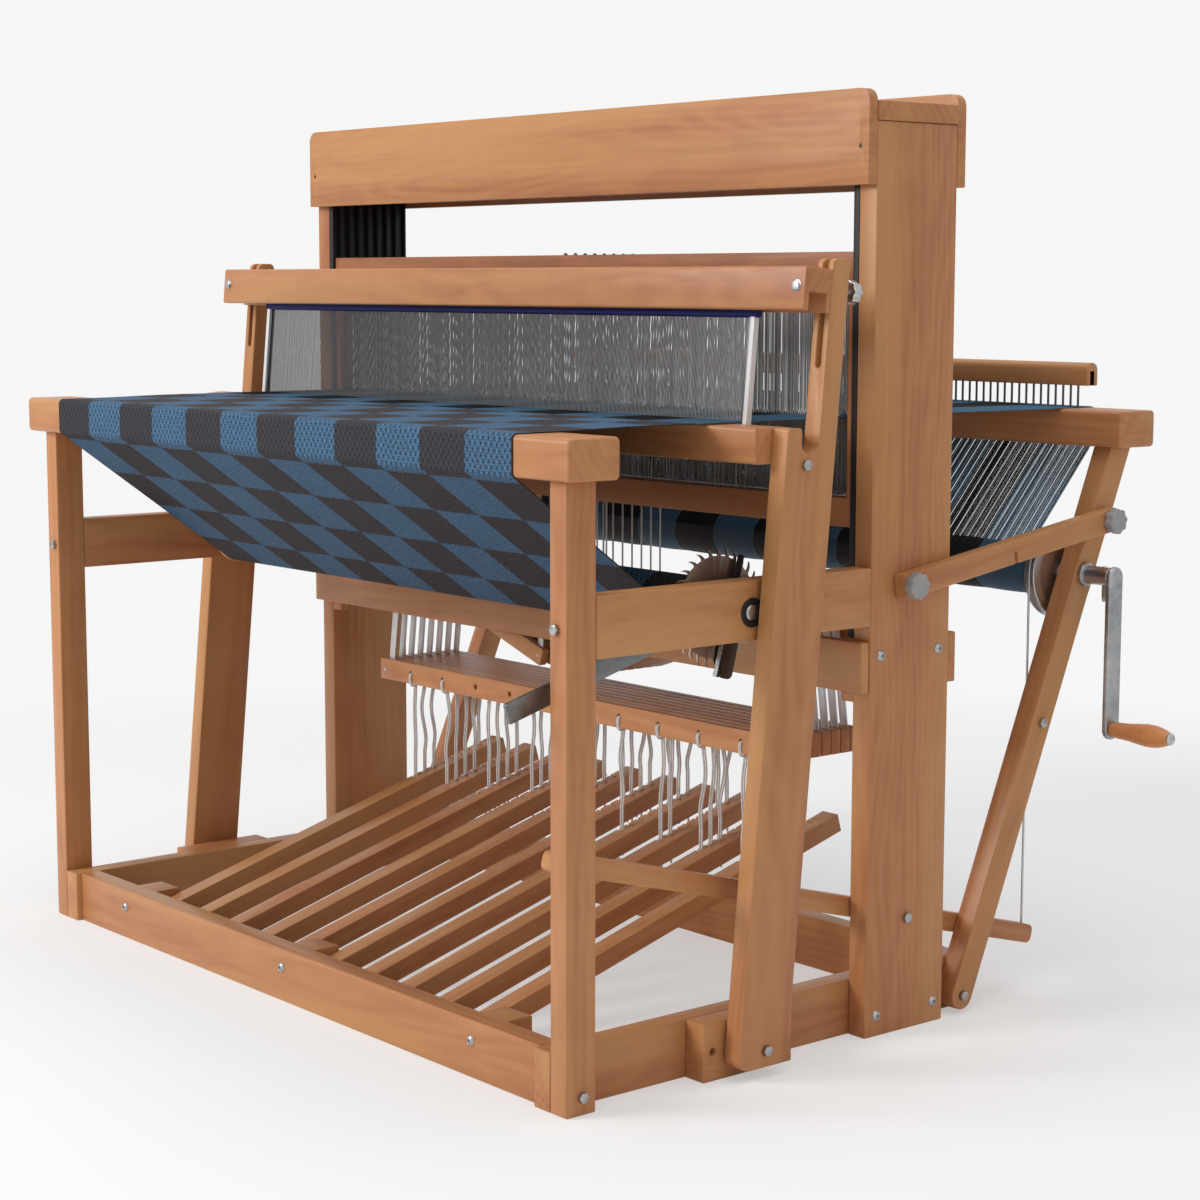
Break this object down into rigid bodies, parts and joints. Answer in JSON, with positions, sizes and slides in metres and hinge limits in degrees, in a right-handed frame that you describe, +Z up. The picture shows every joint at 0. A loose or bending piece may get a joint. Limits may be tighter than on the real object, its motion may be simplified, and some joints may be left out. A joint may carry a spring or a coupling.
{
  "type": "floor loom",
  "caption": "Wooden floor loom: castle with shafts, lamms and treadles, swinging beater, cloth and warp beams, folding back frame.",
  "frame": {"origin": "on the floor, under the middle of the loom's overall box", "axes": "+X to the weaver's right along the beams, +Y from the breast beam to the back beam, +Z up"},
  "size_m": [1.3598, 1.0122, 1.138],
  "materials": {
    "wood": "satin oiled cherry or beech",
    "track_plastic": "matt black",
    "cloth": "woven, matt",
    "reed_steel": "satin",
    "galvanised_steel": "dull galvanised",
    "cable_steel": "satin"
  },
  "bodies": {
    "frame": {"front_post_left": "wood", "front_post_right": "wood", "base_rail_left": "wood", "base_rail_right": "wood", "front_base_rail": "wood", "rear_base_rail": "wood", "upper_rail_left": "wood", "upper_rail_right": "wood", "breast_beam": "wood", "castle_upright_left": "wood", "castle_upright_right": "wood", "castle_top": "wood", "castle_low_board_front": "wood", "castle_low_board_back": "wood", "shaft_track_left": "track_plastic", "shaft_track_right": "track_plastic", "treadle_axle": "wood", "woven_web": "cloth"},
    "shaft_1": {"shaft_1": "wood"},
    "shaft_2": {"shaft_2": "wood"},
    "shaft_3": {"shaft_3": "wood"},
    "shaft_4": {"shaft_4": "wood"},
    "shaft_5": {"shaft_5": "wood"},
    "shaft_6": {"shaft_6": "wood"},
    "shaft_7": {"shaft_7": "wood"},
    "shaft_8": {"shaft_8": "wood"},
    "lamm_1": {"lamm_1": "wood"},
    "lamm_2": {"lamm_2": "wood"},
    "lamm_3": {"lamm_3": "wood"},
    "lamm_4": {"lamm_4": "wood"},
    "lamm_5": {"lamm_5": "wood"},
    "lamm_6": {"lamm_6": "wood"},
    "lamm_7": {"lamm_7": "wood"},
    "lamm_8": {"lamm_8": "wood"},
    "treadle_1": {"treadle_1": "wood"},
    "treadle_2": {"treadle_2": "wood"},
    "treadle_3": {"treadle_3": "wood"},
    "treadle_4": {"treadle_4": "wood"},
    "treadle_5": {"treadle_5": "wood"},
    "treadle_6": {"treadle_6": "wood"},
    "treadle_7": {"treadle_7": "wood"},
    "treadle_8": {"treadle_8": "wood"},
    "treadle_9": {"treadle_9": "wood"},
    "treadle_10": {"treadle_10": "wood"},
    "beater": {"beater_frame": "wood", "reed": "reed_steel"},
    "hand_tree": {"hand_tree": "wood"},
    "cloth_beam": {"cloth_beam": "wood"},
    "advance_lever": {"advance_lever": "galvanised_steel"},
    "holding_pawl": {"holding_pawl": "galvanised_steel"},
    "back_frame": {"back_leg_left": "wood", "back_leg_right": "wood", "back_beam": "wood", "brake_cable": "cable_steel"},
    "brace_left": {"brace_left": "wood"},
    "brace_right": {"brace_right": "wood"},
    "warp_beam": {"warp_beam": "wood", "crank": "galvanised_steel"},
    "crank_handle": {"crank_handle": "wood"},
    "brake_pedal": {"brake_pedal": "wood"}
  },
  "joints": [
    {"name": "shaft_1_lift", "type": "slide", "parent": "frame", "child": "shaft_1", "axis": [0, 0, 1], "range_m": [0, 0.08]},
    {"name": "lamm_1_drop", "type": "slide", "parent": "frame", "child": "lamm_1", "axis": [0, 0, -1], "range_m": [0, 0.07]},
    {"name": "treadle_1_press", "type": "hinge", "parent": "frame", "child": "treadle_1", "pos_m": [-0.05695, -0.39849, 0.042], "axis": [-1, 0, 0], "range_deg": [0, 9.63]},
    {"name": "shaft_2_lift", "type": "slide", "parent": "frame", "child": "shaft_2", "axis": [0, 0, 1], "range_m": [0, 0.08]},
    {"name": "lamm_2_drop", "type": "slide", "parent": "frame", "child": "lamm_2", "axis": [0, 0, -1], "range_m": [0, 0.07]},
    {"name": "treadle_2_press", "type": "hinge", "parent": "frame", "child": "treadle_2", "pos_m": [-0.05695, -0.39849, 0.042], "axis": [-1, 0, 0], "range_deg": [0, 9.25]},
    {"name": "shaft_3_lift", "type": "slide", "parent": "frame", "child": "shaft_3", "axis": [0, 0, 1], "range_m": [0, 0.08]},
    {"name": "lamm_3_drop", "type": "slide", "parent": "frame", "child": "lamm_3", "axis": [0, 0, -1], "range_m": [0, 0.07]},
    {"name": "treadle_3_press", "type": "hinge", "parent": "frame", "child": "treadle_3", "pos_m": [-0.05695, -0.39849, 0.042], "axis": [-1, 0, 0], "range_deg": [0, 8.9]},
    {"name": "shaft_4_lift", "type": "slide", "parent": "frame", "child": "shaft_4", "axis": [0, 0, 1], "range_m": [0, 0.08]},
    {"name": "lamm_4_drop", "type": "slide", "parent": "frame", "child": "lamm_4", "axis": [0, 0, -1], "range_m": [0, 0.07]},
    {"name": "treadle_4_press", "type": "hinge", "parent": "frame", "child": "treadle_4", "pos_m": [-0.05695, -0.39849, 0.042], "axis": [-1, 0, 0], "range_deg": [0, 8.58]},
    {"name": "shaft_5_lift", "type": "slide", "parent": "frame", "child": "shaft_5", "axis": [0, 0, 1], "range_m": [0, 0.08]},
    {"name": "lamm_5_drop", "type": "slide", "parent": "frame", "child": "lamm_5", "axis": [0, 0, -1], "range_m": [0, 0.07]},
    {"name": "treadle_5_press", "type": "hinge", "parent": "frame", "child": "treadle_5", "pos_m": [-0.05695, -0.39849, 0.042], "axis": [-1, 0, 0], "range_deg": [0, 8.28]},
    {"name": "shaft_6_lift", "type": "slide", "parent": "frame", "child": "shaft_6", "axis": [0, 0, 1], "range_m": [0, 0.08]},
    {"name": "lamm_6_drop", "type": "slide", "parent": "frame", "child": "lamm_6", "axis": [0, 0, -1], "range_m": [0, 0.07]},
    {"name": "treadle_6_press", "type": "hinge", "parent": "frame", "child": "treadle_6", "pos_m": [-0.05695, -0.39849, 0.042], "axis": [-1, 0, 0], "range_deg": [0, 8]},
    {"name": "shaft_7_lift", "type": "slide", "parent": "frame", "child": "shaft_7", "axis": [0, 0, 1], "range_m": [0, 0.08]},
    {"name": "lamm_7_drop", "type": "slide", "parent": "frame", "child": "lamm_7", "axis": [0, 0, -1], "range_m": [0, 0.07]},
    {"name": "treadle_7_press", "type": "hinge", "parent": "frame", "child": "treadle_7", "pos_m": [-0.05695, -0.39849, 0.042], "axis": [-1, 0, 0], "range_deg": [0, 7.74]},
    {"name": "shaft_8_lift", "type": "slide", "parent": "frame", "child": "shaft_8", "axis": [0, 0, 1], "range_m": [0, 0.08]},
    {"name": "lamm_8_drop", "type": "slide", "parent": "frame", "child": "lamm_8", "axis": [0, 0, -1], "range_m": [0, 0.07]},
    {"name": "treadle_8_press", "type": "hinge", "parent": "frame", "child": "treadle_8", "pos_m": [-0.05695, -0.39849, 0.042], "axis": [-1, 0, 0], "range_deg": [0, 7.49]},
    {"name": "treadle_9_press", "type": "hinge", "parent": "frame", "child": "treadle_9", "pos_m": [-0.05695, -0.39849, 0.042], "axis": [-1, 0, 0], "range_deg": [0, 9.6]},
    {"name": "treadle_10_press", "type": "hinge", "parent": "frame", "child": "treadle_10", "pos_m": [-0.05695, -0.39849, 0.042], "axis": [-1, 0, 0], "range_deg": [0, 9.6]},
    {"name": "beater_swing", "type": "hinge", "parent": "frame", "child": "beater", "pos_m": [-0.05695, -0.18849, 0.033], "axis": [1, 0, 0], "range_deg": [-6, 5.5]},
    {"name": "hand_tree_lift", "type": "slide", "parent": "beater", "child": "hand_tree", "axis": [0, 0.0936, 0.9956], "range_m": [0, 0.025]},
    {"name": "cloth_beam_turn", "type": "hinge", "parent": "frame", "child": "cloth_beam", "pos_m": [-0.05695, -0.18649, 0.54], "axis": [1, 0, 0], "continuous": true},
    {"name": "advance_lever_swing", "type": "hinge", "parent": "frame", "child": "advance_lever", "pos_m": [-0.05695, -0.18649, 0.54], "axis": [1, 0, 0], "range_deg": [-30, 0]},
    {"name": "holding_pawl_swing", "type": "hinge", "parent": "frame", "child": "holding_pawl", "pos_m": [-0.05695, -0.18649, 0.54], "axis": [1, 0, 0], "range_deg": [-8, 8]},
    {"name": "back_fold", "type": "hinge", "parent": "frame", "child": "back_frame", "pos_m": [-0.05695, 0.18251, 0.023], "axis": [1, 0, 0], "range_deg": [0, 19.5], "deforming": ["woven_web", "brake_cable"]},
    {"name": "brace_left_swing", "type": "hinge", "parent": "frame", "child": "brace_left", "pos_m": [-0.05695, 0.05951, 0.554], "axis": [1, 0, 0], "range_deg": [0, 24.7]},
    {"name": "brace_right_swing", "type": "hinge", "parent": "frame", "child": "brace_right", "pos_m": [-0.05695, 0.05951, 0.554], "axis": [1, 0, 0], "range_deg": [0, 24.7]},
    {"name": "warp_beam_turn", "type": "hinge", "parent": "back_frame", "child": "warp_beam", "pos_m": [-0.05695, 0.3994, 0.5415], "axis": [1, 0, 0], "continuous": true},
    {"name": "crank_handle_spin", "type": "hinge", "parent": "warp_beam", "child": "crank_handle", "pos_m": [-0.05695, 0.3994, 0.3455], "axis": [1, 0, 0], "continuous": true},
    {"name": "brake_pedal_press", "type": "hinge", "parent": "frame", "child": "brake_pedal", "pos_m": [-0.05695, 0.07651, 0.141], "axis": [1, 0, 0], "range_deg": [0, 6], "stiffness_Nm_per_rad": 5, "springref_deg": -20.05, "deforming": ["brake_cable"]}
  ],
  "couplings": [
    {"joint": "lamm_1_drop", "follows": "shaft_1_lift", "ratio": 0.875},
    {"joint": "treadle_1_press", "follows": "shaft_1_lift", "rad_per_m": 2.0983},
    {"joint": "lamm_2_drop", "follows": "shaft_2_lift", "ratio": 0.875},
    {"joint": "treadle_2_press", "follows": "shaft_2_lift", "rad_per_m": 2.0161},
    {"joint": "lamm_3_drop", "follows": "shaft_3_lift", "ratio": 0.875},
    {"joint": "treadle_3_press", "follows": "shaft_3_lift", "rad_per_m": 1.9401},
    {"joint": "lamm_4_drop", "follows": "shaft_4_lift", "ratio": 0.875},
    {"joint": "treadle_4_press", "follows": "shaft_4_lift", "rad_per_m": 1.8697},
    {"joint": "lamm_5_drop", "follows": "shaft_5_lift", "ratio": 0.875},
    {"joint": "treadle_5_press", "follows": "shaft_5_lift", "rad_per_m": 1.8041},
    {"joint": "lamm_6_drop", "follows": "shaft_6_lift", "ratio": 0.875},
    {"joint": "treadle_6_press", "follows": "shaft_6_lift", "rad_per_m": 1.743},
    {"joint": "lamm_7_drop", "follows": "shaft_7_lift", "ratio": 0.875},
    {"joint": "treadle_7_press", "follows": "shaft_7_lift", "rad_per_m": 1.6859},
    {"joint": "lamm_8_drop", "follows": "shaft_8_lift", "ratio": 0.875},
    {"joint": "treadle_8_press", "follows": "shaft_8_lift", "rad_per_m": 1.6325},
    {"joint": "brace_left_swing", "follows": "back_fold", "ratio": 1.267},
    {"joint": "brace_right_swing", "follows": "back_fold", "ratio": 1.267}
  ]
}
